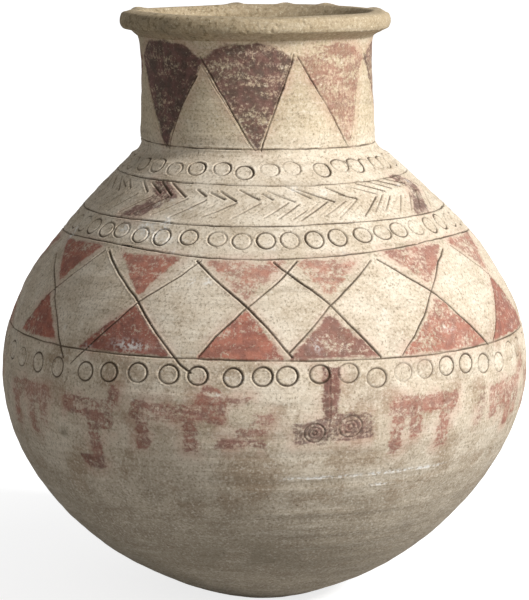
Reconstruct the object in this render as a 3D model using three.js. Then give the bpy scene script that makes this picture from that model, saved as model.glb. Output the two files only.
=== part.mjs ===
// Wide-necked storage jar of fired clay, in millimetres, with +Z up.
// The origin is the centre of the flat foot that the jar stands on.
//
// A jar like this is raised in courses. A dished pad makes the foot, strips of clay a hand's breadth
// wide make the body, a collar makes the neck and a thick coil makes the rim. Each course is
// bevelled, and the next one is luted to it on a long seam that slopes down through the wall, so
// that the seam has more clay to bond on and holds the ring above it on centre. A thin coil fills
// the corner between neck and shoulder. Firing turns them into one body: here every course is a
// solid of its own.
import * as THREE from "three";

const degrees = Math.PI / 180;

// Foot: the flat that the jar stands on, and the wall that rises from its edge.
const footRadius = 30;
const footRise = 14.3 * degrees;
const footReach = 101.5;
const floorThickness = 12;

// Belly: the widest place, and how far the wall stays steep below and above it.
const bellyRadius = 178.5;
const bellyHeight = 155.3;
const bellyReachDown = 50.8;
const bellyReachUp = 62.3;
const bodyWall = 9;

// Shoulder: its edge is the ledge that shows outside the neck.
const shoulderHeight = 301;
const shoulderSlope = 43.6 * degrees;
const shoulderReach = 57.5;
const ledgeWidth = 8.3;

// Neck: nearly a cylinder, a little hollow under the rim and flared at its top.
const neckRadius = 78.8;
const neckWall = 7.8;
const neckHeight = 80;
const waistHollow = 1.5;
const waistBelowTop = 16;
const topFlare = 0.4;

// Seat: the bevel on the shoulder that carries the foot of the neck, and the throat inside it.
const seatDrop = 8;
const throatSlope = 29 * degrees;
const throatReach = 58;

// Rim: a coil with a rounded nose, a flat land on its crest and an inner slope.
const rimHeight = 19;
const rimOverhang = 11.9;
const noseDrop = 10;
const crestSetback = 8.1;
const landWidth = 4;

// Luting coil in the corner between neck and shoulder.
const cornerCoilHeight = 8;

// Courses: where one strip of clay ends on the outside and the next begins. Between the pad and the
// belly, and between the belly and the shoulder, there are two strips of equal height.
const padRise = 16;
const bellyCourseDown = 50;
const bellyCourseUp = 9;
const herringboneCourseDown = 49;

// Seams: how far a seam slopes down the wall, and the gap that the fired clay leaves in it.
const seamLap = 8;
const seamGap = 0.4;

// Incised lines: four round the shoulder, as depths below its edge, and one round the foot of the neck.
const lineWidth = 1.6;
const lineDepth = 0.8;
const shoulderLineDepths = [11, 34.2, 52.5, 113.5];
const neckLineRise = 9;

// Spacing of the rings of points along the wall, and the number of sides of each ring.
const outerStep = 16;
const innerStep = 22;
const ringSides = 64;

const shoulderRadius = neckRadius + ledgeWidth;
const throatRadius = neckRadius - neckWall;
const throatHeight = shoulderHeight - seatDrop;
const neckTop = shoulderHeight + neckHeight;
const rimTop = neckTop + rimHeight;

const at = (radius, height) => new THREE.Vector2(radius, height);

// The handle of a cubic curve shortened for a curve that runs inside it, as for two round arcs.
const innerReach = (reach, turn, inset) => reach - (4 / 3) * Math.tan(turn / 4) * inset;

// A wall of the body in section, from the foot through the belly to the shoulder, as two cubic curves.
function wallCurve(foot, belly, shoulder) {
  const wall = new THREE.CurvePath();
  const up = at(0, 1);
  wall.add(
    new THREE.CubicBezierCurve(
      foot.place,
      foot.place.clone().add(at(foot.reach * Math.cos(footRise), foot.reach * Math.sin(footRise))),
      belly.place.clone().addScaledVector(up, -belly.reachDown),
      belly.place,
    ),
  );
  wall.add(
    new THREE.CubicBezierCurve(
      belly.place,
      belly.place.clone().addScaledVector(up, belly.reachUp),
      shoulder.place
        .clone()
        .add(at(shoulder.reach * Math.cos(shoulder.slope), -shoulder.reach * Math.sin(shoulder.slope))),
      shoulder.place,
    ),
  );
  return wall;
}

const outerWall = wallCurve(
  { place: at(footRadius, 0), reach: footReach },
  { place: at(bellyRadius, bellyHeight), reachDown: bellyReachDown, reachUp: bellyReachUp },
  { place: at(shoulderRadius, shoulderHeight), reach: shoulderReach, slope: shoulderSlope },
);

const lowerTurn = 90 * degrees - footRise;
const upperTurn = 90 * degrees - shoulderSlope;
const innerWall = wallCurve(
  {
    place: at(
      footRadius - floorThickness * Math.sin(footRise),
      floorThickness * Math.cos(footRise),
    ),
    reach: innerReach(footReach, lowerTurn, floorThickness),
  },
  {
    place: at(bellyRadius - bodyWall, bellyHeight),
    reachDown: innerReach(bellyReachDown, lowerTurn, bodyWall),
    reachUp: innerReach(bellyReachUp, upperTurn, bodyWall),
  },
  { place: at(throatRadius, throatHeight), reach: throatReach, slope: throatSlope },
);

// The outer face of the neck, and its inner face one wall thickness inside it.
const neckOuter = new THREE.SplineCurve([
  at(neckRadius, throatHeight),
  at(neckRadius, shoulderHeight),
  at(neckRadius - waistHollow, neckTop - waistBelowTop),
  at(neckRadius + topFlare, neckTop),
]);

// Points along a curve, in even steps of about the length given.
function sample(curve, step) {
  const count = Math.ceil(curve.getLength() / step);
  const points = [];
  for (let i = 0; i <= count; i += 1) points.push(curve.getPointAt(i / count));
  return points;
}

// The place on an outline at a height. Outlines climb from their first point to their last.
function placeAt(outline, height) {
  let i = 1;
  while (i < outline.length - 1 && outline[i].y < height) i += 1;
  const share = (height - outline[i - 1].y) / (outline[i].y - outline[i - 1].y);
  return outline[i - 1].clone().lerp(outline[i], share);
}

// The stretch of an outline between two heights, with a point at each of them.
function stretch(outline, from, to) {
  const clear = 0.25;
  const inside = outline.filter((p) => p.y > from + clear && p.y < to - clear);
  return [placeAt(outline, from), ...inside, placeAt(outline, to)];
}

// An outline with a V-shaped line pressed into it at each height, towards the axis.
function incise(outline, heights) {
  const half = lineWidth / 2;
  const plain = outline.filter((p) => heights.every((h) => Math.abs(p.y - h) > lineWidth));
  const lines = heights.flatMap((height) => [
    placeAt(outline, height - half),
    placeAt(outline, height).sub(at(lineDepth, 0)),
    placeAt(outline, height + half),
  ]);
  return [...plain, ...lines].sort((a, b) => a.y - b.y);
}

const outerPlain = sample(outerWall, outerStep);
const outerFace = incise(
  outerPlain,
  shoulderLineDepths.map((depth) => shoulderHeight - depth),
);
const innerFace = sample(innerWall, innerStep);
const neckPlain = sample(neckOuter, outerStep);
const neckFace = incise(neckPlain, [shoulderHeight + neckLineRise]);
const neckInnerFace = neckPlain.map((p) => p.clone().sub(at(neckWall, 0)));

// A seam through the body wall: its height on the outer face, and on the inner face, where it has
// crossed the wall squarely and run down it by the lap.
function seamAt(height) {
  const step = 1;
  const along = placeAt(outerPlain, height + step).sub(placeAt(outerPlain, height - step)).normalize();
  return { outer: height, inner: height + along.x * bodyWall - along.y * seamLap };
}

// The seat under the neck slopes down from the ledge to the throat.
function seatHeight(radius) {
  return shoulderHeight - (seatDrop * (shoulderRadius - radius)) / (shoulderRadius - throatRadius);
}

const belowBelly = bellyHeight - bellyCourseDown;
const aboveBelly = bellyHeight + bellyCourseUp;
const belowHerringbone = shoulderHeight - herringboneCourseDown;
const padSeam = seamAt(padRise);
const bowlSeam = seamAt((padRise + belowBelly) / 2);
const lowerBellySeam = seamAt(belowBelly);
const upperBellySeam = seamAt(aboveBelly);
const latticeSeam = seamAt((aboveBelly + belowHerringbone) / 2);
const herringboneSeam = seamAt(belowHerringbone);
const raised = (seam) => ({ outer: seam.outer + seamGap, inner: seam.inner + seamGap });

// A solid turned round the Z axis from a section that ends on the axis or closes on itself.
function turned(name, section, material) {
  const shape = new THREE.LatheGeometry(section, ringSides);
  shape.rotateX(Math.PI / 2);
  const mesh = new THREE.Mesh(shape, material);
  mesh.name = name;
  return mesh;
}

const ring = (name, section, material) => turned(name, [...section, section[0].clone()], material);

// A course of the body between the seam that it stands on and the seam that it carries.
function course(name, below, above, material) {
  const outside = stretch(outerFace, below.outer, above.outer);
  const inside = stretch(innerFace, below.inner, above.inner);
  return ring(name, [...outside, ...inside.reverse()], material);
}

function clay(colour) {
  return new THREE.MeshStandardMaterial({ color: colour, roughness: 0.92, metalness: 0 });
}

const bareClay = "#9a8e7b";
const creamSlip = "#cfc1a4";
const wornRimClay = "#b7a67e";

function basePad() {
  const under = stretch(outerFace, 0, padSeam.outer);
  const floor = stretch(innerFace, innerFace[0].y, padSeam.inner);
  const section = [at(0, 0), ...under, ...floor.reverse(), at(0, innerFace[0].y)];
  return turned("base_pad", section, clay(bareClay));
}

function herringboneCourse() {
  const foot = raised(herringboneSeam);
  const edge = { outer: shoulderHeight, inner: throatHeight };
  return course("herringbone_course", foot, edge, clay(creamSlip));
}

// The neck ends in a seam that slopes down inwards, as those of the body do.
const neckSeam = { outer: neckTop, inner: neckTop - seamLap };

function neck() {
  const footOutside = seatHeight(neckRadius) + seamGap;
  const outside = stretch(neckFace, footOutside, neckSeam.outer);
  const inside = stretch(neckInnerFace, throatHeight + seamGap, neckSeam.inner);
  return ring("neck", [...outside, ...inside.reverse()], clay(creamSlip));
}

function lutingCoil() {
  const back = neckRadius + seamGap;
  const front = shoulderRadius - seamGap;
  const top = shoulderHeight + cornerCoilHeight;
  const hollow = at(back + (front - back) * 0.17, shoulderHeight + cornerCoilHeight * 0.3);
  const face = new THREE.QuadraticBezierCurve(
    at(front, seatHeight(front) + seamGap),
    hollow,
    at(back + seamGap, top),
  );
  const section = [at(back, seatHeight(back) + seamGap), ...face.getPoints(4), at(back, top)];
  return ring("luting_coil", section, clay(creamSlip));
}

function rimCoil() {
  const foot = raised(neckSeam);
  const neckEdge = at(neckRadius + topFlare, foot.outer);
  const nose = at(neckEdge.x + rimOverhang, rimTop - noseDrop);
  const landOuter = at(nose.x - crestSetback, rimTop);
  const landInner = at(landOuter.x - landWidth, rimTop);
  const mouth = placeAt(neckInnerFace, foot.inner);
  mouth.y = foot.inner;
  const undercut = at(neckEdge.x + rimOverhang * 0.7, neckEdge.y + 1);
  const brow = at(nose.x - crestSetback * 0.2, rimTop - noseDrop * 0.55);
  const lip = new THREE.QuadraticBezierCurve(neckEdge, undercut, nose);
  const crown = new THREE.QuadraticBezierCurve(nose, brow, landOuter);
  const slope = new THREE.QuadraticBezierCurve(landInner, at(mouth.x, rimTop - noseDrop), mouth);
  const section = [...lip.getPoints(4), ...crown.getPoints(4).slice(1), ...slope.getPoints(4)];
  return ring("rim_coil", section, clay(wornRimClay));
}

const jar = new THREE.Group();
jar.add(basePad());
jar.add(course("lower_bowl", raised(padSeam), bowlSeam, clay(bareClay)));
jar.add(course("upper_bowl", raised(bowlSeam), lowerBellySeam, clay(bareClay)));
jar.add(course("belly_course", raised(lowerBellySeam), upperBellySeam, clay(creamSlip)));
jar.add(course("lower_lattice_course", raised(upperBellySeam), latticeSeam, clay(creamSlip)));
jar.add(course("upper_lattice_course", raised(latticeSeam), herringboneSeam, clay(creamSlip)));
jar.add(herringboneCourse());
jar.add(neck());
jar.add(lutingCoil());
jar.add(rimCoil());

export default jar;
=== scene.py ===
# The looks of a wide-necked pottery jar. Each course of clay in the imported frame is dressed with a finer
# skin that carries the incised lines, the stamped rings, the painted triangles and the wear of the jar.
# Lengths are millimetres and turn to metres where a mesh is made. Angles run round the jar in degrees: 0
# faces the camera, and they grow to its right. A run is a distance along the jar's outline from the foot.
import math

import bpy
import numpy as np
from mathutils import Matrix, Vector


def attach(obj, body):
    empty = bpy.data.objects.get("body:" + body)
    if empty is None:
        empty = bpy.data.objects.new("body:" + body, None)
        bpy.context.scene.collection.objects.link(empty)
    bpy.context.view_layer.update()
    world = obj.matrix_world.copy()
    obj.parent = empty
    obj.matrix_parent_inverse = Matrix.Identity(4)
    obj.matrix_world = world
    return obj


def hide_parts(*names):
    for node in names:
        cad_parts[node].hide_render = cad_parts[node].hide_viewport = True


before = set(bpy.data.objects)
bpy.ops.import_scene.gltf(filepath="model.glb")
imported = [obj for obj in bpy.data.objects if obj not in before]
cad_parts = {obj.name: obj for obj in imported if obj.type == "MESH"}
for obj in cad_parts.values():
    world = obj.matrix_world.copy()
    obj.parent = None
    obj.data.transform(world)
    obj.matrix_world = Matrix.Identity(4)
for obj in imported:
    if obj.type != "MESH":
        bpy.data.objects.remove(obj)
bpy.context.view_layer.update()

MM = 0.001
dice = np.random.default_rng(7)

# The jar's outline
# These are the sizes of the frame, but with the rim's top a little lower, as it stands between its bumps.
# A reach is how far off the point lies that a curve heads for from its end. Inside the wall, the reaches of
# the foot and the belly are shorter, by the inset over BELLY_CURVE.
FOOT_RADIUS, FOOT_RISE, FOOT_REACH = 30, math.radians(14.3), 101.5
BELLY_RADIUS, BELLY_HEIGHT, BELLY_CURVE = 178.5, 155.3, 90
BELLY_REACH_DOWN, BELLY_REACH_UP = 50.8, 62.3
EDGE_RADIUS, EDGE_HEIGHT = 87.1, 301
SHOULDER_SLOPE, INNER_SLOPE, SHOULDER_REACH = math.radians(43.6), math.radians(29), 57.5
NECK_RADIUS, NECK_WALL, NECK_TOP = 78.8, 7.8, 381
COIL_TOP, SEAT_DROP = 309, 8
FLOOR, WALL, SEAM_LAP = 12, 9, 8
SEAMS = [16, 60.65, 105.3, 164.3, 208.15, 252]
THROAT = (NECK_RADIUS - NECK_WALL, EDGE_HEIGHT - SEAT_DROP)
RIM_TOP = 397.3
COIL_END, NECK_END = (79.3, COIL_TOP), (79.2, NECK_TOP)
LIP_EDGE, LIP_SHOULDER, LAND_EDGE, LIP_END = (89.5, 386.3), (89.8, 395.2), (79, RIM_TOP), (70.6, 373)


def bezier(*controls, steps=400):
    """Points along a curve with three or four control places."""
    t = np.linspace(0, 1, steps)[:, None]
    c = [np.array(p, float) for p in controls]
    if len(c) == 3:
        return (1 - t) ** 2 * c[0] + 2 * t * (1 - t) * c[1] + t**2 * c[2]
    return (1 - t) ** 3 * c[0] + 3 * t * (1 - t) ** 2 * c[1] + 3 * t**2 * (1 - t) * c[2] + t**3 * c[3]


def body_wall(inset, floor, slope, top):
    """The body's outer face, or the face an inset inside it, from the floor round the belly to the top."""
    foot = (FOOT_RADIUS - floor * math.sin(FOOT_RISE), floor * math.cos(FOOT_RISE))
    along = (math.cos(FOOT_RISE) * FOOT_REACH, math.sin(FOOT_RISE) * FOOT_REACH)
    shrink = 1 - inset / BELLY_CURVE
    belly = (BELLY_RADIUS - inset, BELLY_HEIGHT)
    low = bezier(foot, (foot[0] + along[0] * shrink, foot[1] + along[1] * shrink),
                 (belly[0], belly[1] - BELLY_REACH_DOWN * shrink), belly)
    shoulder = (top[0] + SHOULDER_REACH * math.cos(slope), top[1] - SHOULDER_REACH * math.sin(slope))
    high = bezier(belly, (belly[0], belly[1] + BELLY_REACH_UP * shrink), shoulder, top)
    return np.vstack([low, high[1:]])


class Outline:
    """A stretch of the outline, with its points by their run."""

    def __init__(self, points):
        points = points[np.r_[True, np.hypot(*np.diff(points, axis=0).T) > 1e-6]]
        self.points = points
        self.run = np.r_[0, np.cumsum(np.hypot(*np.diff(points, axis=0).T))]
        self.length = self.run[-1]

    def at(self, run):
        """Radius and height at a run."""
        return np.stack([np.interp(run, self.run, self.points[:, k]) for k in (0, 1)], -1)

    def run_at_height(self, height):
        return np.interp(height, self.points[:, 1], self.run)


outer_body = body_wall(0, 0, SHOULDER_SLOPE, (EDGE_RADIUS, EDGE_HEIGHT))
coil_face = bezier((EDGE_RADIUS, EDGE_HEIGHT), (81.5, 303.2), COIL_END)
neck_face = bezier(COIL_END, (78.6, 340), (75.8, 368), NECK_END)
lip_under = bezier(NECK_END, (83.5, 384.4), LIP_EDGE)
lip_over = bezier(LIP_EDGE, (92.6, 389.5), LIP_SHOULDER)
lip_land = bezier(LIP_SHOULDER, (88.3, RIM_TOP + 0.5), LAND_EDGE)
lip_inner = bezier(LAND_EDGE, (71.5, 392), LIP_END)
skin = Outline(np.vstack([outer_body, coil_face, neck_face, lip_under, lip_over, lip_land, lip_inner]))
climb = Outline(np.vstack([outer_body, coil_face, neck_face, lip_under]))
lining = Outline(body_wall(WALL, FLOOR, INNER_SLOPE, THROAT))
EDGE_RUN, COIL_RUN, NECK_RUN = (climb.run_at_height(h) for h in (EDGE_HEIGHT, COIL_TOP, NECK_TOP))
CREST_RUN = NECK_RUN + Outline(lip_under).length + Outline(lip_over).length

# The grid of points over the skin
# Columns go round the jar, and rows from the foot over the lip. A plain patch is one cell of BLOCK by BLOCK
# steps, and one with fine work is cut down to cells of two steps or of one. Inside and on the seams, where
# nothing fine shows, a face is as wide as WIDE columns.
BLOCK = 4
COLUMNS = 448 * BLOCK
WIDE = 16
WIDE_FACES = COLUMNS // WIDE
SHORTEST_CELL, LONGEST_CELL = 1.25, 2.5
COURSES = ["base_pad", "lower_bowl", "upper_bowl", "belly_course", "lower_lattice_course",
           "upper_lattice_course", "herringbone_course", "luting_coil", "neck", "rim_coil"]
course_rows = [0]
rows = [np.array([0.0])]
start = 0.0
for end in [climb.run_at_height(h) for h in SEAMS] + [EDGE_RUN, COIL_RUN, NECK_RUN, skin.length]:
    middle = skin.at((start + end) / 2)[0]
    cell = np.clip(2 * math.pi * middle / COLUMNS * BLOCK, SHORTEST_CELL, LONGEST_CELL)
    count = max(2, round((end - start) / cell)) * BLOCK
    rows.append(np.linspace(start, end, count + 1)[1:])
    course_rows.append(course_rows[-1] + count)
    start = end
row_run = np.concatenate(rows)
row_radius, row_height = skin.at(row_run).T
ROWS = len(row_run)
SHAPE = (ROWS, COLUMNS)
column_angle = -180 + 360 * np.arange(COLUMNS) / COLUMNS

# The way out of the wall at each row
# It is square to the outline as that runs a little before and after the row.
NEAR_RUN = 0.7
row_ahead = skin.at(np.minimum(row_run + NEAR_RUN, skin.length))
row_ahead -= skin.at(np.maximum(row_run - NEAR_RUN, 0))
row_ahead /= np.hypot(*row_ahead.T)[:, None]
row_out = np.stack([row_ahead[:, 1], -row_ahead[:, 0]], -1)

# What the surface carries at each point
# Cut is the depth of the incised work and burr the clay raised beside it, relief is what stands out or is
# broken away, and fine says where small cells are needed. Paint is the distance inside a painted edge, with
# its hue from 0, red, to 1, purple, and worn from 0 to 1, gone. Chalk is lime, and grime is dark earth.
PAINT_FAR = -12
cut, burr, relief, hue, chalk, grime = (np.zeros(SHAPE, np.float32) for _ in range(6))
paint = np.full(SHAPE, PAINT_FAR, np.float32)
worn = np.full(SHAPE, 0.5, np.float32)
fine = np.zeros(SHAPE, bool)
CARRIED = {"cut": cut, "paint": paint, "hue": hue, "worn": worn, "chalk": chalk, "grime": grime}


# Tools that mark the surface
# A burr stands BURR_AWAY from the edge of its cut, and cuts deeper than FINE_DEPTH get small cells up to
# FINE_MARGIN past their edge.
LEAST_RADIUS = 20
BURR_AWAY, BURR_WIDTH, BURR_SHARE = 0.45, 0.4, 0.2
FINE_MARGIN, FINE_DEPTH = 0.55, 0.12


def window(angle, run, half_width, half_run):
    """The rows and columns round a place on the skin, with each point's distance from it across and up."""
    low, high = np.searchsorted(row_run, [run - half_run, run + half_run])
    high = max(high, low + 1)
    radius = max(float(np.interp(run, row_run, row_radius)), LEAST_RADIUS)
    reach = int(half_width / (2 * math.pi * radius / COLUMNS)) + 2
    centre = int(round((angle + 180) / 360 * COLUMNS))
    columns = np.arange(centre - reach, centre + reach + 1)
    across = np.radians(-180 + 360 * columns / COLUMNS - angle)[None] * row_radius[low:high, None]
    up = (row_run[low:high] - run)[:, None] + 0 * across
    return np.ix_(np.arange(low, high), columns % COLUMNS), across, up


def carve(place, distance, width, depth):
    """A round-bottomed cut along where distance is 0, with a low burr of clay on both sides of it."""
    half = width / 2
    shape = np.cos(np.clip(distance / half, 0, 1) * math.pi / 2) ** 1.4 * depth
    cut[place] = np.maximum(cut[place], shape)
    ridge = np.exp(-(((distance - half - BURR_AWAY) / BURR_WIDTH) ** 2)) * depth * BURR_SHARE
    burr[place] = np.maximum(burr[place], ridge)
    fine[place] |= (distance < half + FINE_MARGIN) & (shape + depth > FINE_DEPTH)


def stroke(a, b, width, depth, fade):
    """A straight cut between two places, each an angle and a height. fade scales the depth at both ends."""
    runs = climb.run_at_height(np.array([a[1], b[1]]))
    angle, run = (a[0] + b[0]) / 2, runs.mean()
    radius = float(np.interp(run, row_run, row_radius))
    tip = np.array([math.radians(b[0] - a[0]) * radius, runs[1] - runs[0]])
    length = float(np.hypot(*tip))
    margin = width + 1
    place, x, y = window(angle, run, abs(tip[0]) / 2 + margin, abs(tip[1]) / 2 + margin)
    x, y = x + tip[0] / 2, y + tip[1] / 2
    t = np.clip((x * tip[0] + y * tip[1]) / length**2, 0, 1)
    distance = np.hypot(x - t * tip[0], y - t * tip[1])
    carve(place, distance, width, depth * (fade[0] + (fade[1] - fade[0]) * t))


# The hand that draws a long line
# It moves in steps that tremble, in degrees and in height, and its pressure swings. A degree round the
# shoulder is about DEGREE long.
DEGREE = 2.6
HAND_STEP, ANGLE_TREMBLE, HEIGHT_TREMBLE = 7.0, 0.075, 0.125
PRESS_SWING, PRESS_PACE = 0.22, 0.9


def trail(points, width, depth):
    """A long cut through places, drawn by hand: short strokes that tremble a little and press unevenly."""
    points = np.array(points, float)
    reach = np.hypot(np.diff(points[:, 0]) * DEGREE, np.diff(points[:, 1]))
    count = max(2, int(reach.sum() / HAND_STEP))
    t = np.r_[0, np.cumsum(reach)] / reach.sum()
    s = np.linspace(0, 1, count + 1)
    angle = np.interp(s, t, points[:, 0]) + dice.normal(0, ANGLE_TREMBLE, count + 1)
    height = np.interp(s, t, points[:, 1]) + dice.normal(0, HEIGHT_TREMBLE, count + 1)
    press = 1 + PRESS_SWING * np.sin(np.arange(count + 1) * PRESS_PACE + dice.uniform(0, 6))
    for i in range(count):
        ends = (float(press[i]), float(press[i + 1]))
        stroke((angle[i], height[i]), (angle[i + 1], height[i + 1]), width, depth, ends)


REED_WALL = 1.8


def stamp(angle, height, size, depth, lean_to, lean, width=REED_WALL):
    """A ring pressed with a cut reed that leans to one side, so that one side of the ring is deeper."""
    place, x, y = window(angle, climb.run_at_height(height), size / 2 + 2, size / 2 + 2)
    squash = 1 + 0.05 * math.sin(angle)
    distance = np.abs(np.hypot(x * squash, y / squash) - (size - width) / 2)
    press = 1 - lean * (0.5 - 0.5 * np.cos(np.arctan2(y, x) - lean_to))
    carve(place, distance, width, depth * press)


def wavy(height, *swings):
    """A line round the jar that wanders. A swing is times round, its size and the angle of its crest."""
    angle = np.arange(-180, 181, 3.0)
    line = height + sum(size * np.cos(np.radians(times * (angle - crest))) for times, size, crest in swings)
    return list(zip(angle, line))


def coat(points, tint, wear):
    """Paint inside an outline of places, with its hue and wear."""
    angles, heights = np.array(points, float).T
    runs = climb.run_at_height(heights)
    angle, run = (angles.min() + angles.max()) / 2, (runs.min() + runs.max()) / 2
    corner_x = np.radians(angles - angle) * np.interp(runs, row_run, row_radius)
    corner_y = runs - run
    margin = -PAINT_FAR
    place, x, y = window(angle, run, np.abs(corner_x).max() * 1.1 + margin, np.abs(corner_y).max() + margin)
    nearest = np.full(x.shape, 1e9)
    inside = np.zeros(x.shape, bool)
    for k in range(len(points)):
        ax, ay, bx, by = corner_x[k - 1], corner_y[k - 1], corner_x[k], corner_y[k]
        dx, dy = bx - ax, by - ay
        t = np.clip(((x - ax) * dx + (y - ay) * dy) / (dx * dx + dy * dy + 1e-9), 0, 1)
        nearest = np.minimum(nearest, np.hypot(x - ax - t * dx, y - ay - t * dy))
        if abs(dy) > 1e-9:
            crosses = (ay > y) != (by > y)
            inside ^= crosses & (x < ax + (y - ay) * dx / dy)
    depth = np.where(inside, nearest, -nearest)
    deeper = depth > paint[place]
    tinted = deeper & (depth > PAINT_FAR / 2)
    paint[place] = np.where(deeper, depth, paint[place])
    hue[place] = np.where(tinted, tint, hue[place])
    worn[place] = np.where(tinted, wear, worn[place])


def bar(a, b, width, tint, wear):
    """One stroke of the paint brush between two places."""
    radius = float(np.interp(climb.run_at_height(a[1]), row_run, row_radius))
    dx = math.radians(b[0] - a[0]) * radius
    dy = b[1] - a[1]
    length = math.hypot(dx, dy)
    aside = np.degrees(width / 2 * dy / length / radius)
    above = width / 2 * dx / length
    coat([(a[0] - aside, a[1] + above), (b[0] - aside, b[1] + above),
          (b[0] + aside, b[1] - above), (a[0] + aside, a[1] - above)], tint, wear)


def splash(field, angle, height, across, up, strength):
    """A soft patch of chalk or grime."""
    place, x, y = window(angle, climb.run_at_height(height), across * 2, up * 2)
    field[place] += strength * np.exp(-((x / across) ** 2) - (y / up) ** 2)


def dent(angle, run, across, up, depth):
    """A chip or a pit, deep in the middle and ragged at its edge. With a depth below 0 it is a lump."""
    place, x, y = window(angle, run, across * 2.2, up * 2.2)
    ragged = 1 + 0.25 * np.sin(3 * np.arctan2(y, x) + angle)
    away = np.hypot(x / across, y / up) * ragged
    relief[place] -= depth * np.exp(-(away**2.4))
    if depth > 0.25:
        fine[place] |= away < 1.5


# Incised lines round the jar
# They go from the neck's foot down, and the last is a second try at the first line of the shoulder.
trail(wavy(310.9, (1, 0.9, -95), (3, 0.3, 20)), 1.5, 0.8)
trail(wavy(290.3, (2, 0.7, 95), (1, 0.5, -90)), 1.5, 0.75)
trail(wavy(266.9, (2, 0.4, 85), (5, 0.2, 30)), 1.7, 0.95)
trail(wavy(249.9, (3, -2.4, 0), (7, 0.25, 10)), 1.6, 0.9)
trail(wavy(187.6, (1, 1.2, -85), (4, 0.5, -5)), 1.6, 0.9)
trail([(-62, 291.2), (-40, 290.9), (-27, 290.0)], 1.6, 0.85)

# Rings stamped in three rows
# The places given are those of the side that shows in the photograph, where the potter's spacing is uneven.
# The rest go on round at the same pace.
LEDGE_RINGS = [(-60, 299), (-49.5, 299.5), (-38.5, 298), (-27.5, 299), (-16, 299.3), (-6.5, 297), (4, 299),
               (13.5, 300), (26.5, 298.3), (36.5, 300.3), (45, 299.6), (52, 299), (60, 299.5), (67, 299)]
SHOULDER_RINGS = [(-67, 259.5), (-60, 259.5), (-52.5, 259), (-46, 260), (-38, 258.5), (-30.5, 258.5),
                  (-22, 259.3), (-13.5, 259), (-6.5, 258), (0.3, 258.4), (7, 258.4), (14, 258.4), (21, 259),
                  (29, 259.5), (36, 260), (42.5, 260.5), (50, 260.5), (57.5, 260.5), (65, 261)]
BELLY_RINGS = [(-71, 176), (-64.5, 174.5), (-56.5, 174.5), (-49, 174.5), (-40.3, 175), (-34, 176.5),
               (-27, 178), (-20, 178.3), (-13.8, 178.3), (-6.5, 177.8), (-0.5, 178.6), (4.5, 178.8),
               (11.2, 179.6), (17.3, 179.6), (23.5, 175.5), (29.8, 177.5), (35.3, 178), (41.3, 178),
               (47.3, 177.5), (53.5, 175), (60, 173)]


def ring_row(shown, pace, height, size, depth, lean_to, lean):
    """The rings that show, and then the others on the far side of the jar."""
    last, first = shown[-1][0], shown[0][0] + 360
    count = round((first - last) / pace)
    far = [(last + (first - last) * k / count + dice.normal(0, 0.5), height + dice.normal(0, 0.6))
           for k in range(1, count)]
    for angle, place in shown + far:
        stamp(angle, place, size * dice.uniform(1.03, 1.1), depth * dice.uniform(0.5, 1.15),
              math.radians(lean_to) + dice.normal(0, 0.5), lean)


ring_row(LEDGE_RINGS, 10.2, 299, 13.0, 1.4, 35, 0.6)
ring_row(SHOULDER_RINGS, 7.3, 259.5, 13.2, 1.25, 200, 0.35)
ring_row(BELLY_RINGS, 6.5, 177, 13.4, 1.3, 10, 0.4)

# Herringbone between the first two lines of the shoulder
# Each stroke goes from one place to another. Those of the upper half fall to the right, and those of the
# lower half climb to the right. Faint strokes between them follow, and then the far side.
UPPER_STROKES = [(-66, 288, -60, 284.5), (-61, 289, -56, 284), (-51, 289, -45.5, 283.5),
                 (-46, 289, -39, 283.5), (-41, 290, -33.5, 282.5), (-36, 290, -27.5, 282),
                 (-24, 286.5, -20, 283), (-18.5, 285, -13, 281.5), (-15, 286, -9, 280.5),
                 (-8, 287, -1, 281.5), (0, 285, 3.5, 281.5), (2, 286.5, 11, 280), (9, 289, 17, 282),
                 (13, 287.5, 25, 279.5), (24, 288, 30, 283), (28, 283.5, 34, 280.5), (33, 288, 44, 282),
                 (38, 289, 49, 283), (43, 290, 54, 284), (48, 290, 60, 284.5), (54, 290, 66, 285)]
LOWER_STROKES = [(-66, 270, -58, 281), (-60, 269.5, -50, 281.5), (-53, 270, -42, 281.5),
                 (-46, 270, -35, 281.5), (-38, 270.5, -27, 281), (-31, 270, -20, 280.5),
                 (-20, 271, -9, 279.5), (-10, 271, -1, 279.5), (0, 271, 8.5, 279.5),
                 (4.5, 270.5, 12, 278.5), (9, 270, 14, 275), (11.5, 269.5, 22, 279.5),
                 (19, 271, 29, 279.5), (24, 270, 34, 280), (33, 270, 42.5, 280.5), (38, 272, 46, 281),
                 (42.5, 272, 49.5, 280), (48, 270, 55.5, 279.5), (54, 270, 62, 280), (60, 271, 69, 281)]
for a, b, c, d in UPPER_STROKES:
    stroke((a, b), (c, d), 2.0, dice.uniform(0.75, 1.2), (0.6, 1.1))
for a, b, c, d in LOWER_STROKES:
    stroke((a, b), (c, d), 1.7, dice.uniform(0.65, 1.0), (0.7, 1.0))
for angle in np.arange(-68, 64, 5.6):
    angle = float(angle + dice.normal(0, 0.9))
    low_end = (angle, 270.5 + dice.normal(0, 0.8))
    stroke(low_end, (angle + 8, 279), 1.3, dice.uniform(0.2, 0.45), (0.6, 1.0))
for angle in np.arange(71, 292, 6.1):
    angle = float(angle + dice.normal(0, 0.8))
    high_end = (angle, 289 + dice.normal(0, 0.7))
    stroke(high_end, (angle + 7, 281.5), 2.0, dice.uniform(0.75, 1.2), (0.6, 1.1))
    low_end = (angle - 3, 270 + dice.normal(0, 0.7))
    stroke(low_end, (angle + 6.5, 280), 1.6, dice.uniform(0.55, 0.85), (0.7, 1))

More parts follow.
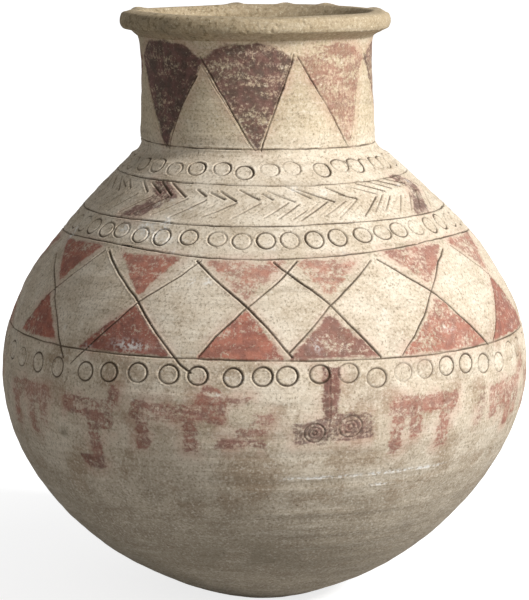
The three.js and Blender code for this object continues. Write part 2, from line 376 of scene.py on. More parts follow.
# The lattice
# Lines that fall to the right are cut deep, and those that climb to the right are lighter.
DEEP_LINE, LIGHT_LINE = (1.9, 1.1), (1.7, 0.9)
FALLING = [[(-71, 239), (-60, 222), (-54, 205), (-50, 190), (-47.5, 181)],
           [(-46, 247), (-31, 222), (-18.5, 187), (-15.5, 180)],
           [(-18, 246), (-4.5, 221), (0, 209), (5.5, 190)],
           [(2, 246), (14.5, 222), (25, 188)],
           [(30, 245), (42.5, 224), (56.5, 186)],
           [(60, 247), (70.5, 227), (84, 188)]]
CLIMBING = [[(-45, 178), (-30.5, 220), (-17, 246)],
            [(-14, 190), (-10, 205), (-4.5, 219), (5, 239), (8, 246)],
            [(5, 193), (15, 221), (28, 245)],
            [(30, 188), (43, 225), (50, 240), (55, 246)],
            [(59, 187), (71, 225), (78, 246)],
            [(-68, 192), (-61, 217), (-48, 247)]]
FAR_CROSSINGS = [99, 127, 155, 183, 211, 239, 270]
for line in FALLING:
    trail(line, *DEEP_LINE)
for line in CLIMBING:
    trail(line, *LIGHT_LINE)
for centre in FAR_CROSSINGS:
    trail([(centre - 15, 248), (centre, 223), (centre + 14, 188)], *DEEP_LINE)
    trail([(centre - 14, 188), (centre, 223), (centre + 15, 248)], *LIGHT_LINE)

# Painted triangles of the lattice
# They hang from its upper line and stand on its lower one. Each is the angles of its left, right and tip,
# the heights of base and tip, its hue and its wear.
HANGING = [(-70, -50.5, -59.5, 249, 226, 0.1, 0.25), (-40.5, -23, -31, 247, 224.5, 0.05, 0.3),
           (-14, 5, -4.5, 245.5, 225, 0.0, 0.55), (8, 24, 15, 245.5, 226, 0.05, 0.6),
           (33, 54, 42.5, 249, 227.5, 0.25, 0.45), (60, 80, 71, 250, 230, 0.25, 0.45)]
STANDING = [(-67.5, -52, -61, 191.5, 217, 0.1, 0.15), (-43, -21, -31, 190, 217, 0.35, 0.15),
            (-14, 3.5, -4.3, 189.5, 217.5, 0.05, 0.25), (5.5, 24, 14, 189.5, 214.5, 0.6, 0.35),
            (31, 55, 43, 188.5, 218.5, 0.15, 0.4), (60, 82, 71, 189, 223, 0.3, 0.25)]
for centre in FAR_CROSSINGS:
    HANGING.append((centre - 11, centre + 11, centre, 247, 227,
                    dice.uniform(0, 0.4), dice.uniform(0.2, 0.5)))
    STANDING.append((centre - 11.5, centre + 11.5, centre, 190, 218,
                     dice.uniform(0, 0.5), dice.uniform(0.15, 0.4)))
for left, right, tip, base, point, tint, wear in HANGING + STANDING:
    coat([(left, base), (right, base), (tip, point)], tint, wear)

# Triangles that hang on the neck, and the incised strokes beside them
# Each is its left, right and tip, the heights of top and tip, its hue and its wear. The strokes beside the
# front triangles are listed, each with its width and depth.
NECK_TRIANGLES = [(-73, -27.5, -49, 378, 311, 1.0, 0.2), (-27, 18, 0, 377, 312, 0.95, 0.28),
                  (21, 63, 49.5, 376, 313, 0.5, 0.62), (66, 125, 101, 376, 312, 0.9, 0.4)]
FRONT_TRIANGLES = 3
for tip in (153, 205, 259):
    NECK_TRIANGLES.append((tip - 25, tip + 25, tip, 376, 312,
                           dice.uniform(0.5, 1), dice.uniform(0.25, 0.6)))
for left, right, tip, top, point, tint, wear in NECK_TRIANGLES:
    inward = 0.2 * (right - left)
    coat([(tip, point), (right, 368), (right - inward, top - 1), (tip, top + 2), (left + inward, top),
          (left, 368)], tint, wear)
NECK_STROKES = [([(-1.3, 310), (-14, 340), (-28, 371)], 1.3, 0.75),
                ([(-2.6, 312), (-15.6, 341), (-28.8, 368)], 0.9, 0.4),
                ([(1.3, 310), (10, 341), (17, 365), (18, 372)], 1.3, 0.8),
                ([(49.3, 309.5), (42, 326), (30, 350), (20, 371)], 1.3, 0.8),
                ([(49.8, 309.5), (54, 325), (63, 370)], 1.1, 0.5),
                ([(-50, 310), (-60, 333), (-71, 362)], 1.3, 0.85),
                ([(-48, 309), (-38, 340), (-30, 358)], 1.3, 0.75)]
for points, width, depth in NECK_STROKES:
    trail(points, width, depth)
for left, right, tip, *_ in NECK_TRIANGLES[FRONT_TRIANGLES:]:
    trail([(tip - 1, 311), (left, 371)], 1.2, 0.6)
    trail([(tip + 1, 311), (right, 371)], 1.0, 0.4)

# Painted chevrons of the herringbone
for corner in (-36, 69, 155, 232):
    coat([(corner - 9, 290), (corner - 2, 290), (corner + 4, 282), (corner - 6, 268.5),
          (corner - 14, 268.5), (corner - 4, 281.5)], 0.9, 0.4)


# Frieze of four-legged animals
# It runs under the lattice, with worn patches of paint between the animals. Sizes are widths of the brush.
BODY_BRUSH, LEG_BRUSH, NECK_BRUSH = 9.5, 7.5, 6.0


def animal(back, left, right, legs, tint, wear, neck=None):
    """Body, legs and neck as strokes of the brush. A leg is its angle and the height of its foot."""
    bar((left, back), (right, back), BODY_BRUSH, tint, wear)
    for angle, foot in legs:
        bar((angle, back), (angle, foot), LEG_BRUSH, tint, wear)
    if neck:
        bar(neck[0], neck[1], NECK_BRUSH, tint, wear)


animal(155, -68, -51, [(-66, 130), (-58, 129), (-53.5, 138)], 0.35, 0.62)
animal(153, -46, -33, [(-37.5, 118), (-34, 140)], 0.45, 0.5, ((-33, 154), (-32, 168)))
coat([(-42.5, 119), (-36, 121), (-36.5, 112), (-41, 112)], 0.7, 0.45)
animal(154.5, -28, -8, [(-25.5, 130), (-15, 131)], 0.5, 0.5)
coat([(-14, 160), (-8, 161), (-9.5, 171), (-12.5, 171)], 0.3, 0.4)
bar((-14, 165), (-3, 164.5), 2.2, 0.5, 0.6)
bar((-9.5, 136), (0.5, 136), 4.5, 0.7, 0.45)
bar((-5, 143), (0.5, 143), 4.5, 0.5, 0.6)
bar((-2, 151), (1.5, 152), 6, 0.5, 0.65)
animal(156.5, 26.5, 43.5, [(28.5, 127), (33, 135), (40.5, 127)], 0.3, 0.5, ((43, 150), (43, 159)))
bar((52.5, 136), (52.5, 159), 6, 0.6, 0.75)
animal(155, 56, 69, [(58, 138), (62, 140), (65.5, 130), (69.5, 135)], 0.3, 0.55, ((69, 155), (74.5, 169)))
animal(154, 77, 95, [(79, 134), (84, 136), (92, 130)], 0.5, 0.6)
for tail in (106, 131, 158, 184, 209, 238, 262):
    tail += float(dice.normal(0, 1.5))
    animal(155, tail, tail + 17, [(tail + 2, 129), (tail + 7, 136), (tail + 15, 130)],
           dice.uniform(0.4, 0.7), dice.uniform(0.4, 0.7), ((tail + 17, 155), (tail + 20, 167)))

# Two-wheeled cart
# It has a pole, and wheels of rings cut inside each other. A wheel is its angle, height and size, and a
# ring its share of the wheel, its depth, which way and how far the reed leaned, and its width.
WHEELS = [(10.3, 142.5, 14.0), (17.8, 145.5, 16.0)]
WHEEL_RINGS = [(1.0, 0.7, 0.0, 0.2, 1.3), (0.62, 0.5, 2.0, 0.3, 1.1), (0.3, 0.6, 0.0, 0.1, 1.3)]
coat([(12, 183), (15.2, 183), (15, 152), (12.2, 152)], 0.75, 0.3)
coat([(6, 147), (12, 150), (15, 153), (18, 155), (22.5, 152), (22.5, 138), (14, 137), (6.5, 137)], 0.9, 0.5)
trail([(13.5, 178), (13.3, 160), (13.2, 137)], 1.1, 0.55)
for angle, height, size in WHEELS:
    for part, depth, lean_to, lean, width in WHEEL_RINGS:
        stamp(angle, height, size * part, depth, lean_to, lean, width)

# White scratches low on the belly
for near, far, height in ((5, 45, 112), (25, 31, 104)):
    trail([(near, height), (far, height - 0.5)], 1.2, 0.22)
    for angle in np.arange(near, far, 1.5):
        splash(chalk, float(angle), height, 3, 1.0, dice.uniform(0.3, 1.4))

# Lime that ground water left, and dark earth
# Each patch is its angle, height, size across and up, and strength.
LIME = [(-31, 266, 3, 5, 1.3), (-38, 263, 4, 5, 1.1), (-34, 259, 5, 4, 0.8), (-45, 261, 5, 4, 0.7),
        (-70, 252, 2, 6, 1.5), (-28, 257, 6, 3, 0.6), (-30, 194, 12, 3, 0.9), (11, 197, 4, 4, 0.6),
        (-14, 234, 3, 3, 0.8), (22, 285, 5, 3, 0.6), (12, 287, 5, 3, 0.5), (-18, 234, 2, 2, 0.9)]
EARTH = [(-47, 133, 4, 3, 1.0), (0, 50, 70, 22, 0.55), (9, 209, 2, 1.2, 1.5),
         (-60, 300, 30, 8, 0.35), (-40, 395, 40, 12, 0.5), (55, 180, 8, 8, 0.4)]
LIME_SPECKS = 60
for patch in LIME:
    splash(chalk, *patch)
for _ in range(LIME_SPECKS):
    splash(chalk, dice.uniform(-180, 180), dice.uniform(150, 300),
           dice.uniform(1, 3), dice.uniform(1, 2.5), 0.5)
for patch in EARTH:
    splash(grime, *patch)

# Unevenness of the whole wall
# The hands left broad swellings, each as its times round, radians per millimetre up and size, and marks of
# turning that run level round the jar, each as its spacing and size.
SWELLINGS = [(2, 0.02, 0.35), (3, 0.032, 0.3), (5, 0.06, 0.2), (7, 0.1, 0.14), (11, 0.16, 0.09)]
TURNING_MARKS = [(17.0, 0.1), (10.5, 0.06), (7.0, 0.03)]
turn = np.radians(column_angle)[None]
swell = np.zeros(SHAPE, np.float32)
for times, per_mm, size in SWELLINGS:
    phase = dice.uniform(0, 2 * math.pi, 2)
    swell += size * np.cos(times * turn + phase[0]) * np.cos(per_mm * row_run[:, None] + phase[1])
turning = np.zeros(ROWS)
for spacing, size in TURNING_MARKS:
    turning += size * np.sin(row_run / spacing * 2 * math.pi + dice.uniform(0, 6))
swell += (turning[:, None] * (1 + 0.4 * np.cos(turn * 3))).astype(np.float32)

# Pits, lumps and chips
# The body has small pits, and the rim has pits and lumps, and large chips and lumps that are listed: each
# is its angle, run from the crest, size across and up, and depth.
RIM_CHIPS = [(-88, -12, 9, 5, 2.0), (-75, -15, 8, 4, 1.2), (84, -2, 7, 5, 1.8), (96, 2, 6, 4, 1.2),
             (-97, 0, 5, 4, 1.5), (4, -14, 4, 2.5, 1.1), (-110, 4, 5, 4, -1.4), (-171, 5, 5, 4, -1.3),
             (166, 4, 4, 3, -1.4), (145, 5, 6, 4, -1.5), (108, 4, 6, 4, -1.2), (-62, -9, 9, 4, 0.9)]
BODY_PITS, RIM_PITS = 420, 260
for _ in range(BODY_PITS):
    dent(dice.uniform(-180, 180), dice.uniform(20, EDGE_RUN + 70),
         dice.uniform(0.8, 2.2), dice.uniform(0.8, 1.8), dice.uniform(0.08, 0.3))
for _ in range(RIM_PITS):
    dent(dice.uniform(-180, 180), CREST_RUN + dice.normal(-6, 7),
         dice.uniform(0.8, 2.4), dice.uniform(0.8, 1.8), dice.uniform(-0.25, 0.5))
for angle, away, across, up, depth in RIM_CHIPS:
    dent(angle, CREST_RUN + away, across, up, depth)

# Where the points of the skin stand, and which way each faces
# The jar leans: at each height it stands so much to the right of the axis.
LEAN_HEIGHTS = [0, 60, 110, 150, 200, 250, 285, 300, 315, 380, 400]
LEAN_ASIDE = [-2.8, -2.8, -1.5, -0.3, 0.6, 0.6, -1.5, -3, -4.8, -5.6, -6.3]
raised = swell + relief - cut + burr


def to_world(angle, radius, height):
    """Places in metres from angles, radii and heights, with the jar's lean."""
    turned = np.radians(angle)
    flat = np.stack([radius * np.sin(turned), -radius * np.cos(turned), height], -1).reshape(-1, 3)
    flat[:, 0] += np.interp(flat[:, 2], LEAN_HEIGHTS, LEAN_ASIDE)
    return flat * MM


grid_place = to_world(np.tile(column_angle, ROWS), (row_radius[:, None] + raised * row_out[:, :1]).ravel(),
                      (row_height[:, None] + raised * row_out[:, 1:]).ravel()).reshape(ROWS, COLUMNS, 3)
facing = np.cross(np.roll(grid_place, -1, 1) - np.roll(grid_place, 1, 1), np.gradient(grid_place, axis=0))
facing /= np.linalg.norm(facing, axis=2)[:, :, None] + 1e-15

# Cells of the skin
# Those of one step are used only where the jar is wider than this. Nearer the axis, cells of half a block
# are fine enough.
SINGLE_STEP_RADIUS = 128


def skin_cells():
    """The first row and column of every cell of the skin, by the cell's size in steps."""
    block_rows = (ROWS - 1) // BLOCK
    busy = fine[:-1].reshape(block_rows, BLOCK, COLUMNS // BLOCK, BLOCK)
    ahead = fine[BLOCK::BLOCK].reshape(block_rows, COLUMNS // BLOCK, BLOCK)
    halved = (busy.any((1, 3)) | ahead.any(2)).repeat(2, 0).repeat(2, 1)
    single = fine[:-1].reshape(block_rows * 2, 2, COLUMNS // 2, 2).any((1, 3))
    single |= fine[2::2].reshape(block_rows * 2, COLUMNS // 2, 2).any(2)
    single |= np.roll(fine[:-1:2], -2, 1)[:, ::2]
    single &= (row_radius[:-1:2] > SINGLE_STEP_RADIUS)[:, None]
    cells = {4: ~halved[::2, ::2], 2: halved & ~single, 1: (halved & single).repeat(2, 0).repeat(2, 1)}
    return {size: [index * size for index in np.nonzero(mask)] for size, mask in cells.items()}


cells = skin_cells()
used = np.zeros(SHAPE, bool)
for size, (row, column) in cells.items():
    for up, along in ((0, 0), (0, size), (size, 0), (size, size)):
        used[row + up, (column + along) % COLUMNS] = True
used[:, ::WIDE][course_rows] = True


# Meshes
# Points are numbered over the whole grid, and the hidden ones follow, row after row. A strip between hidden
# rows takes as much of the map as MAP_STEP rows of the grid.
FIRST_HIDDEN = ROWS * COLUMNS
MAP_STEP, MAP_BORDER = 6, 0.001
wide_columns = np.arange(WIDE_FACES)


class Skin:
    """The faces of one piece, gathered as their corners' point numbers and places in the map."""

    def __init__(self):
        self.points, self.sizes, self.map, self.smooth = [], [], [], []

    def add(self, candidates, keep, u, v, smooth=True):
        """Faces with the same number of candidate corners, of which keep says which ones are there."""
        self.points.append(candidates[keep])
        self.sizes.append(keep.sum(1))
        self.map.append(np.stack([u[keep], v[keep]], -1))
        self.smooth.append(np.full(len(keep), smooth))


def cell_ring(size):
    """Steps round a cell from its first corner: along, up, back and down."""
    there, back = list(range(size)), list(range(size, 0, -1))
    up = [0] * size + there + [size] * size + back
    along = there + [size] * size + back + [0] * size
    return np.array(up), np.array(along)


def strip_side(level, along):
    """One side of every wide face: the used points of a row of the skin, or two points of a hidden row."""
    kind, row = level
    if kind == "skin":
        columns = wide_columns[:, None] * WIDE + along
        return row * COLUMNS + columns % COLUMNS, used[row, columns % COLUMNS], columns / COLUMNS
    columns = wide_columns[:, None] * WIDE + along[[0, -1]]
    corners = FIRST_HIDDEN + row * WIDE_FACES + columns // WIDE % WIDE_FACES
    return corners, np.ones(columns.shape, bool), columns / COLUMNS


def dress(name, course, hidden):
    """The closed skin of one course: its face, and strips over its upper seam, inside and lower seam."""
    low, high = course_rows[course], course_rows[course + 1]
    piece = Skin()
    total = high - low + MAP_STEP * (len(hidden) + 1)
    for size, (first_row, first_column) in cells.items():
        mine = (first_row >= low) & (first_row < high)
        up, along = cell_ring(size)
        row, column = first_row[mine, None] + up, first_column[mine, None] + along
        keep = used[row, column % COLUMNS]
        piece.add(row * COLUMNS + column % COLUMNS, keep, column / COLUMNS, (row - low) / total)
    # the pad's last hidden rows ring the middle of the floor and of the foot, with no strip between them
    pad_floor, pad_foot = (len(hidden) - 2, len(hidden) - 1) if name == "base_pad" else (None, None)
    levels = [("skin", high)] + [("hidden", k) for k in range(len(hidden))] + [("skin", low)]
    along = np.arange(WIDE + 1)
    for k, (near, far) in enumerate(zip(levels, levels[1:])):
        if near == ("hidden", pad_floor):
            continue
        corners, keep, across = zip(strip_side(near, along), strip_side(far, along[::-1]))
        levels_up = [(high - low + MAP_STEP * step) / total for step in (k, k + 1)]
        up = [np.full(side.shape, level) for side, level in zip(corners, levels_up)]
        # the seams are flat-shaded, so that their edges don't darken the skin
        on_seam = "skin" in (near[0], far[0])
        piece.add(np.hstack(corners), np.hstack(keep), np.hstack(across), np.hstack(up), not on_seam)
    if name == "base_pad":
        # neither middle shows, so each is one face and takes a small ring of the map
        for row, order in ((pad_floor, 1), (pad_foot, -1)):
            columns = wide_columns[::order]
            around = 2 * math.pi * columns / WIDE_FACES
            corners = FIRST_HIDDEN + row * WIDE_FACES + columns
            piece.add(corners[None], np.ones((1, WIDE_FACES), bool), 0.5 + 0.01 * np.cos(around)[None],
                      0.97 + 0.01 * order + 0.005 * np.sin(around)[None])
    return build(name, piece, hidden)


def build(name, piece, hidden):
    """A mesh from gathered faces, with what the surface carries as attributes of its points."""
    loops = np.concatenate(piece.points)
    sizes = np.concatenate(piece.sizes)
    ids, corners = np.unique(loops, return_inverse=True)
    on_skin = ids < FIRST_HIDDEN
    skin_count = on_skin.sum()
    row, column = ids[on_skin] // COLUMNS, ids[on_skin] % COLUMNS
    radius = row_radius[row] + raised[row, column] * row_out[row, 0]
    height = row_height[row] + raised[row, column] * row_out[row, 1]
    # the foot stands flat
    places = [to_world(column_angle[column], radius, np.where(row == 0, 0, np.maximum(height, 0)))]
    inner = ids[~on_skin] - FIRST_HIDDEN
    spots = np.array(hidden, float)[inner // WIDE_FACES]
    places.append(to_world(-180 + 360 * (inner % WIDE_FACES) / WIDE_FACES, spots[:, 0], spots[:, 1]))
    mesh = bpy.data.meshes.new(name)
    mesh.vertices.add(len(ids))
    mesh.vertices.foreach_set("co", np.vstack(places).astype(np.float32).ravel())
    mesh.loops.add(len(loops))
    mesh.loops.foreach_set("vertex_index", corners.astype(np.int32))
    mesh.polygons.add(len(sizes))
    mesh.polygons.foreach_set("loop_start", np.r_[0, np.cumsum(sizes)[:-1]].astype(np.int32))
    mesh.polygons.foreach_set("loop_total", sizes.astype(np.int32))
    mesh.update(calc_edges=True)
    uv = np.concatenate(piece.map)
    uv[:, 1] = uv[:, 1] * (1 - 2 * MAP_BORDER) + MAP_BORDER
    mesh.uv_layers.new(name="OFBake").data.foreach_set("uv", uv.astype(np.float32).ravel())
    for label, field in CARRIED.items():
        values = np.full(len(ids), PAINT_FAR if label == "paint" else 0, np.float32)
        values[:skin_count] = field[row, column]
        mesh.attributes.new(label, "FLOAT", "POINT").data.foreach_set("value", values)
    mesh.polygons.foreach_set("use_smooth", np.concatenate(piece.smooth))
    # the grid's own normals, so that no shade shows where two courses meet
    normals = np.zeros((len(ids), 3))
    normals[:skin_count] = np.where((row > 0)[:, None], facing[row, column], 0)
    mesh.normals_split_custom_set_from_vertices(normals.tolist())
    made = bpy.data.objects.new(name + "_skin", mesh)
    bpy.context.scene.collection.objects.link(made)
    return made


# The hidden rows of each course
# They go from its upper seam down its inside to its lower seam, each as radius and height.
LINING_STEP = 9.0
PAD_RING = 8
LUTED_RADIUS = 79.0
BORE_HEIGHTS, BORE_RADII = [293.4, 309, 340, 365, 373], [71, 71, 70.3, 69.6, 70.5]
BORE_ROWS = 9


def seam_inner(height):
    """The height at which the seam that starts outside at a height comes out inside."""
    run = climb.run_at_height(height)
    ahead = climb.at(run + 1) - climb.at(run - 1)
    ahead /= np.hypot(*ahead)
    return height + ahead[0] * WALL - ahead[1] * SEAM_LAP


def lining_rows(top, bottom):
    """Rows on the inner face of the body, from one height down to another."""
    a, b = lining.run_at_height(top), lining.run_at_height(bottom)
    count = max(2, int(abs(a - b) / LINING_STEP))
    return [tuple(lining.at(run)) for run in np.linspace(a, b, count + 1)]


floor_height = float(lining.points[0][1])
seat_height = EDGE_HEIGHT - SEAT_DROP * (EDGE_RADIUS - LUTED_RADIUS) / (EDGE_RADIUS - THROAT[0])
inside = [floor_height] + [seam_inner(h) for h in SEAMS]
hidden_rows = {COURSES[k]: lining_rows(inside[k + 1], inside[k]) for k in range(6)}
hidden_rows["base_pad"] += [(PAD_RING, floor_height), (PAD_RING, 0)]
hidden_rows["herringbone_course"] = [THROAT] + lining_rows(THROAT[1], inside[6])[1:]
hidden_rows["luting_coil"] = [(LUTED_RADIUS - 0.1, COIL_TOP - 0.2), (LUTED_RADIUS, seat_height)]
neck_heights = np.linspace(BORE_HEIGHTS[-1], BORE_HEIGHTS[0], BORE_ROWS)
hidden_rows["neck"] = [(float(np.interp(h, BORE_HEIGHTS, BORE_RADII)), h) for h in neck_heights]
hidden_rows["neck"] += [(LUTED_RADIUS - 0.3, seat_height), (LUTED_RADIUS - 0.25, COIL_TOP - 0.4)]
hidden_rows["rim_coil"] = [(LIP_END[0], LIP_END[1] - 0.1)]


# Materials
def linear(hex_colour):
    """A linear colour from sRGB hex."""
    channels = [int(hex_colour[k : k + 2], 16) / 255 for k in (1, 3, 5)]
    return [c / 12.92 if c <= 0.04045 else ((c + 0.055) / 1.055) ** 2.4 for c in channels] + [1.0]


def node(tree, kind, inputs, out=0, **settings):
    """Adds a node with its settings, and links or sets its inputs. Gives one of its outputs."""
    made = tree.nodes.new("ShaderNode" + kind)
    for key, value in settings.items():
        setattr(made, key, value)
    for key, value in inputs.items():
        if isinstance(value, bpy.types.NodeSocket):
            tree.links.new(value, made.inputs[key])
        else:
            made.inputs[key].default_value = linear(value) if isinstance(value, str) else value
    return made.outputs[out] if made.outputs else made


def lay(tree, under, over, *bands, most=1.0):
    """Lays one colour over another, as strongly as all the bands together say, up to most. A band is a
    value, where it starts to show, where it is full, and its strength at each, 0 and 1 if not given. A band
    of a value alone counts as it is."""
    share = None
    for value, *limits in bands:
        if limits:
            start, full, *strengths = limits
            low, high = strengths or (0.0, 1.0)
            value = node(tree, "MapRange", {"Value": value, "From Min": start, "From Max": full,
                                            "To Min": low, "To Max": high}, interpolation_type="SMOOTHSTEP")
        share = value if share is None else node(tree, "Math", {0: share, 1: value}, operation="MULTIPLY")
    if most < 1:
        share = node(tree, "Math", {0: share, 1: most}, operation="MINIMUM")
    return node(tree, "Mix", {0: share, 6: under, 7: over}, out=2, data_type="RGBA")


def heap(tree, start, *parts):
    """Patterns heaped on a value, each with its weight."""
    for pattern, weight in parts:
        start = node(tree, "Math", {0: pattern, 1: weight, 2: start}, operation="MULTIPLY_ADD")
    return start


# Patterns of the clay
# Each is the size of its lumps in millimetres, its detail and roughness, and how it is squeezed along X, Y
# and Z. Those squeezed along Z lie level, as a wiping hand and the turning leave them. Sand of half a
# millimetre is drawn 1.7 mm across and turning lines 1.3 mm apart, so that they show. Pinholes are only the
# peaks of their pattern, about 1 mm across.
PATTERNS = {
    "cloud": (70, 3, 0.55, (1, 1, 1)),
    "patch": (16, 4, 0.55, (1, 1, 1)),
    "streak": (14, 4, 0.55, (0.35, 0.35, 4.0)),
    "sand": (1.7, 3, 0.75, (1, 1, 1)),
    "pinholes": (3.6, 3, 0.65, (1, 1, 1)),
    "stain": (26, 5, 0.62, (1, 1, 1)),
    "turning_lines": (9, 3, 0.55, (0.12, 0.12, 7.0)),
    "brush_edge": (6, 5, 0.65, (0.6, 0.6, 1.4)),
    "small_flakes": (2.2, 4, 0.78, (1, 1, 1)),
    "large_flakes": (11, 5, 0.55, (0.5, 0.5, 1.8)),
    "red_cloud": (7, 4, 0.55, (1, 1, 1)),
    "purple_cloud": (6, 4, 0.55, (1, 1, 1)),
    "lime_crust": (2.4, 4, 0.55, (1, 1, 1)),
}

# Where the clay changes, in millimetres
# The slip starts and is full at two heights, which firing clouds shift by up to SLIP_RAGGED. The brushed
# edge of the paint wanders by EDGE_RAGGED, and by EDGE_WORN more where the paint is worn away.
SLIP_STARTS, SLIP_FULL, SLIP_RAGGED = 105, 195, 60.0
OLIVE_STARTS, OLIVE_FULL = 303, 330
STAINS_UP_FROM, STAINS_DOWN_FROM = (70, 110), (235, 175)
# The rim's painted shade grows from X 50 mm to X -50 mm, the side away from the key lamp.
SHADED_RIM_SIDE = (50, -50)
EDGE_RAGGED, EDGE_WORN = 3.0, 16.0
GRAIN_DEPTH = 0.5
MATT, DULL_SHEEN = 0.92, 0.25


def slipped_ground(tree, at):
    """Grey-buff clay, cream slip that thins raggedly below the belly, and an olive tinge up the neck."""
    body = lay(tree, "#a39683", "#b8ab97", (at["patch"], 0.35, 0.68))
    cream = lay(tree, "#c8b8a1", "#ddd0bc", (at["patch"], 0.32, 0.7))
    ragged = heap(tree, at["height"], (at["cloud"], SLIP_RAGGED))
    colour = lay(tree, body, cream, (ragged, SLIP_STARTS, SLIP_FULL))
    olive = lay(tree, "#cbb997", "#b9a583", (at["cloud"], 0.4, 0.62))
    return lay(tree, colour, olive, (at["height"], OLIVE_STARTS, OLIVE_FULL, 0, 0.6))


def weathered(tree, colour, at):
    """Dark and pale streaks, yellow-brown stains round the belly, pinholes, and dark and pale sand."""
    colour = lay(tree, colour, "#8a7a65", (at["streak"], 0.5, 0.7, 0, 0.32))
    colour = lay(tree, colour, "#e6dccb", (at["streak"], 0.46, 0.3, 0, 0.22))
    colour = lay(tree, colour, "#8a7055", (at["stain"], 0.48, 0.64, 0, 0.5),
                 (at["height"], *STAINS_UP_FROM), (at["height"], *STAINS_DOWN_FROM))
    colour = lay(tree, colour, "#6f604a", (at["sand"], 0.5, 0.7, 0, 0.66))
    colour = lay(tree, colour, "#5f503d", (at["pinholes"], 0.64, 0.72, 0, 0.6))
    return lay(tree, colour, "#f0e9da", (at["sand"], 0.48, 0.3, 0, 0.5))


def gritty_rim(tree, colour, at, grit):
    """A brown skin with dark and pale grit. Towards -X, the side away from the key lamp, the brown is laid
    more strongly and the dark grit grows denser, as painted shade.
    """
    # the rim's own darker brown, laid more strongly towards -X as painted shade; then dark grit, much
    # denser towards -X, also painted shade
    colour = lay(tree, colour, "#8f7c5c", (at["side"], *SHADED_RIM_SIDE, 0.4225, 0.55))
    colour = lay(tree, colour, "#6b5c40", (at["pinholes"], 0.5, 0.62, 0, grit),
                 (at["side"], *SHADED_RIM_SIDE, 0.15, 1.0))
    return lay(tree, colour, "#dccfae", (at["sand"], 0.42, 0.3, 0, grit))


def oxide_paint(tree, colour, at):
    """Red to purple paint with ragged edges and a faint wash past them, flaked where it is worn."""
    colour = lay(tree, colour, "#b98d78", (at["paint"], -11, 0, 0, 0.42), (at["patch"], 0.35, 0.65))
    raggedness = heap(tree, EDGE_RAGGED, (at["worn"], EDGE_WORN))
    edge = heap(tree, at["paint"], (at["brush_edge"], raggedness), (raggedness, -0.5))
    left = heap(tree, 0.0, (at["small_flakes"], 0.62), (at["large_flakes"], 0.38), (at["worn"], -0.15))
    red = lay(tree, "#a8614e", "#8a4c40", (at["red_cloud"], 0.4, 0.62))
    purple = lay(tree, "#5e3a3a", "#351e22", (at["purple_cloud"], 0.38, 0.6))
    oxide = lay(tree, red, purple, (at["hue"],))
    oxide = lay(tree, oxide, "#3c2a28", (at["sand"], 0.58, 0.7, 0, 0.5))
    return lay(tree, colour, oxide, (edge, -1.9, 0.2), (left, 0.325, 0.465), (at["worn"], 0, 1, 0.92, 0.5))


def shaded_cuts_and_burial(tree, colour, at):
    """Painted shade in the cuts, darker as they are deeper, then a crust of lime, and dirt."""
    # painted shade: the incised cuts are darkened by their depth, as the shade that falls in a groove
    colour = lay(tree, colour, "#463829", (at["cut"], 0.12, 0.8, 0, 0.85))
    colour = lay(tree, colour, "#eeece6", (at["chalk"],), (at["lime_crust"], 0.42, 0.62), most=0.8)
    return lay(tree, colour, "#6f6552", (at["grime"],), (at["patch"], 0.35, 0.6), most=0.7)


def fired_clay(name, grit=0.0):
    """Low-fired earthenware that lay in the ground. grit, from 0 to 1, is coarse sand in the surface."""
    material = bpy.data.materials.new(name)
    material.use_nodes = True
    tree = material.node_tree
    tree.nodes.clear()
    place = node(tree, "TexCoord", {}, out="Object")
    at = {label: node(tree, "Attribute", {}, out="Fac", attribute_name=label) for label in CARRIED}
    for label, axis in (("side", "X"), ("height", "Z")):
        at[label] = heap(tree, 0.0, (node(tree, "SeparateXYZ", {0: place}, out=axis), 1 / MM))
    for label, (size, detail, rough, squeeze) in PATTERNS.items():
        squeezed = node(tree, "Mapping", {"Vector": place, "Scale": squeeze})
        at[label] = node(tree, "TexNoise", {"Vector": squeezed, "Scale": 1 / (size * MM), "Detail": detail,
                                            "Roughness": rough}, out="Fac")
    colour = weathered(tree, slipped_ground(tree, at), at)
    if grit:
        colour = gritty_rim(tree, colour, at, grit)
    colour = shaded_cuts_and_burial(tree, oxide_paint(tree, colour, at), at)
    grain = heap(tree, 0.0, (at["sand"], 0.5), (at["turning_lines"], 0.45), (at["pinholes"], 0.35 + grit))
    bump = node(tree, "Bump", {"Height": grain, "Distance": GRAIN_DEPTH * MM, "Strength": 1.0})
    shader = node(tree, "BsdfPrincipled", {"Base Color": colour, "Roughness": MATT, "Normal": bump,
                                           "Specular IOR Level": DULL_SHEEN})
    node(tree, "OutputMaterial", {0: shader})
    return material


# The upper body was wiped with a thin slip of fine cream clay and painted: matt, chalky, mottled and flaked
earthenware = fired_clay("earthenware, worn cream slip with iron oxide paint")
# The rim is a coil of coarser clay, smoothed with wet hands, which draws the sand up: dark, pitted, grainy
coarse = fired_clay("earthenware, coarse sandy rim, smoothed wet", grit=0.6)
# The foot and the bowl were scraped and got no slip: greyer, with the grain of the clay open
bare_ware = fired_clay("earthenware, scraped and left bare")

# Every course gets its skin, which stands for its plain solid
FINISHES = {"base_pad": ("bare_clay", bare_ware), "lower_bowl": ("bare_clay", bare_ware),
            "upper_bowl": ("bare_clay", bare_ware), "rim_coil": ("worn_rim_clay", coarse)}
for course, name in enumerate(COURSES):
    piece = dress(name, course, hidden_rows[name])
    slot, material = FINISHES.get(name, ("cream_slip", earthenware))
    piece.data.materials.append(material)
    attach(piece, "root")
    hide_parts(name)


# Stage
# It is white paper and a white surround. Only the rays that show the background see them white. The others
# see them dimmer, so that the light on the jar stays plain. Near the jar the paper glows a little less, so
# that the jar's soft shadow shows. These lengths are metres.
FLOOR_HALF = 30.0
SHADE_RADIUS, CLEAR_RADIUS, SHADE = 0.25, 0.9, 0.78
PAPER_TONE, PAPER_TONE_SHOWN = 0.42, 0.6
AMBIENT = 0.21


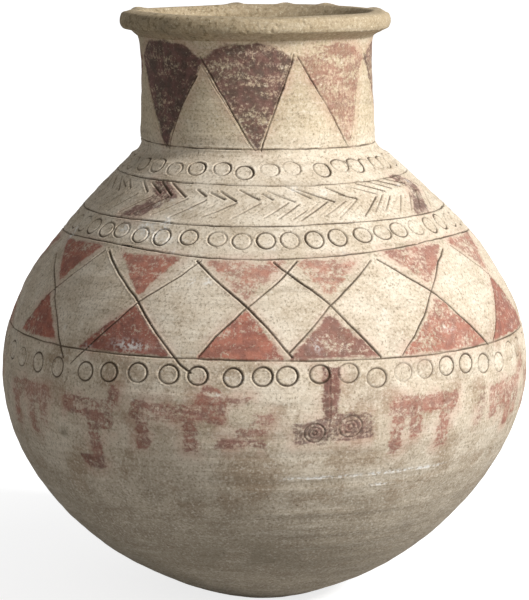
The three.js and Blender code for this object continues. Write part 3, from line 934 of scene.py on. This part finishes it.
def shows_white(tree):
    """1 for the rays that show the background: to the camera, mirrored or let through."""
    shown = node(tree, "LightPath", {}, out="Is Camera Ray")
    for ray in ("Is Glossy Ray", "Is Transmission Ray"):
        other = node(tree, "LightPath", {}, out=ray)
        shown = node(tree, "Math", {0: shown, 1: other}, operation="MAXIMUM")
    return shown


def white_paper():
    """Matt paper, white to the camera."""
    paper = bpy.data.materials.new("matt white paper")
    paper.use_nodes = True
    tree = paper.node_tree
    tree.nodes.clear()
    shown = shows_white(tree)
    place = node(tree, "TexCoord", {}, out="Object")
    away = node(tree, "VectorMath", {0: place}, out="Value", operation="LENGTH")
    white = node(tree, "MapRange", {"Value": away, "From Min": SHADE_RADIUS, "From Max": CLEAR_RADIUS,
                                    "To Min": SHADE, "To Max": 1.0})
    strength = node(tree, "Math", {0: shown, 1: white}, operation="MULTIPLY")
    tone = node(tree, "MapRange", {"Value": shown, "To Min": PAPER_TONE, "To Max": PAPER_TONE_SHOWN})
    glow = node(tree, "Emission", {"Strength": strength})
    matt = node(tree, "BsdfDiffuse", {"Color": tone})
    both = node(tree, "AddShader", {0: matt, 1: glow})
    node(tree, "OutputMaterial", {0: both})
    return paper


floor_mesh = bpy.data.meshes.new("floor")
floor_corners = [(x * FLOOR_HALF, y * FLOOR_HALF, 0) for x, y in ((-1, -1), (1, -1), (1, 1), (-1, 1))]
floor_mesh.from_pydata(floor_corners, [], [(0, 1, 2, 3)])
floor_mesh.materials.append(white_paper())
floor = bpy.data.objects.new("floor", floor_mesh)
bpy.context.scene.collection.objects.link(floor)

world = bpy.data.worlds.new("studio")
bpy.context.scene.world = world
world.use_nodes = True
sky = world.node_tree
sky.nodes.clear()
level = node(sky, "MapRange", {"Value": shows_white(sky), "To Min": AMBIENT, "To Max": 1.0})
node(sky, "OutputWorld", {0: node(sky, "Background", {"Color": "#ffffff", "Strength": level})})


# Lamps
# A soft key stands to the right and above, and a weak fill in front. These lengths are metres.
JAR_MIDDLE = Vector((0, 0, 0.2))


def lamp(name, place, size, power):
    """A soft square lamp that looks at the middle of the jar, with its power in watts."""
    light = bpy.data.lights.new(name, "AREA")
    light.size = size
    light.energy = power
    made = bpy.data.objects.new(name, light)
    made.location = place
    made.rotation_euler = (JAR_MIDDLE - Vector(place)).to_track_quat("-Z", "Y").to_euler()
    bpy.context.scene.collection.objects.link(made)


lamp("key", (1.95, -1.2, 1.55), 0.6, 90)
lamp("fill", (-0.3, -2.4, 0.9), 1.6, 7)

# Camera, where the photograph was taken from
CAMERA_AWAY, CAMERA_UP, CAMERA_DOWN = 1960, 495, math.radians(8.544)
FOCAL_PIXELS, LONG_SIDE, SENSOR = 2908.7, 600, 36.0
camera = bpy.data.cameras.new("camera")
camera.sensor_fit = "AUTO"
camera.sensor_width = SENSOR
camera.lens = FOCAL_PIXELS * SENSOR / LONG_SIDE
camera.clip_end = 100
eye = bpy.data.objects.new("camera", camera)
eye.location = (0, -CAMERA_AWAY * MM, CAMERA_UP * MM)
eye.rotation_euler = (math.pi / 2 - CAMERA_DOWN, 0, 0)
bpy.context.scene.collection.objects.link(eye)
bpy.context.scene.camera = eye
bpy.context.scene.view_settings.view_transform = "Standard"
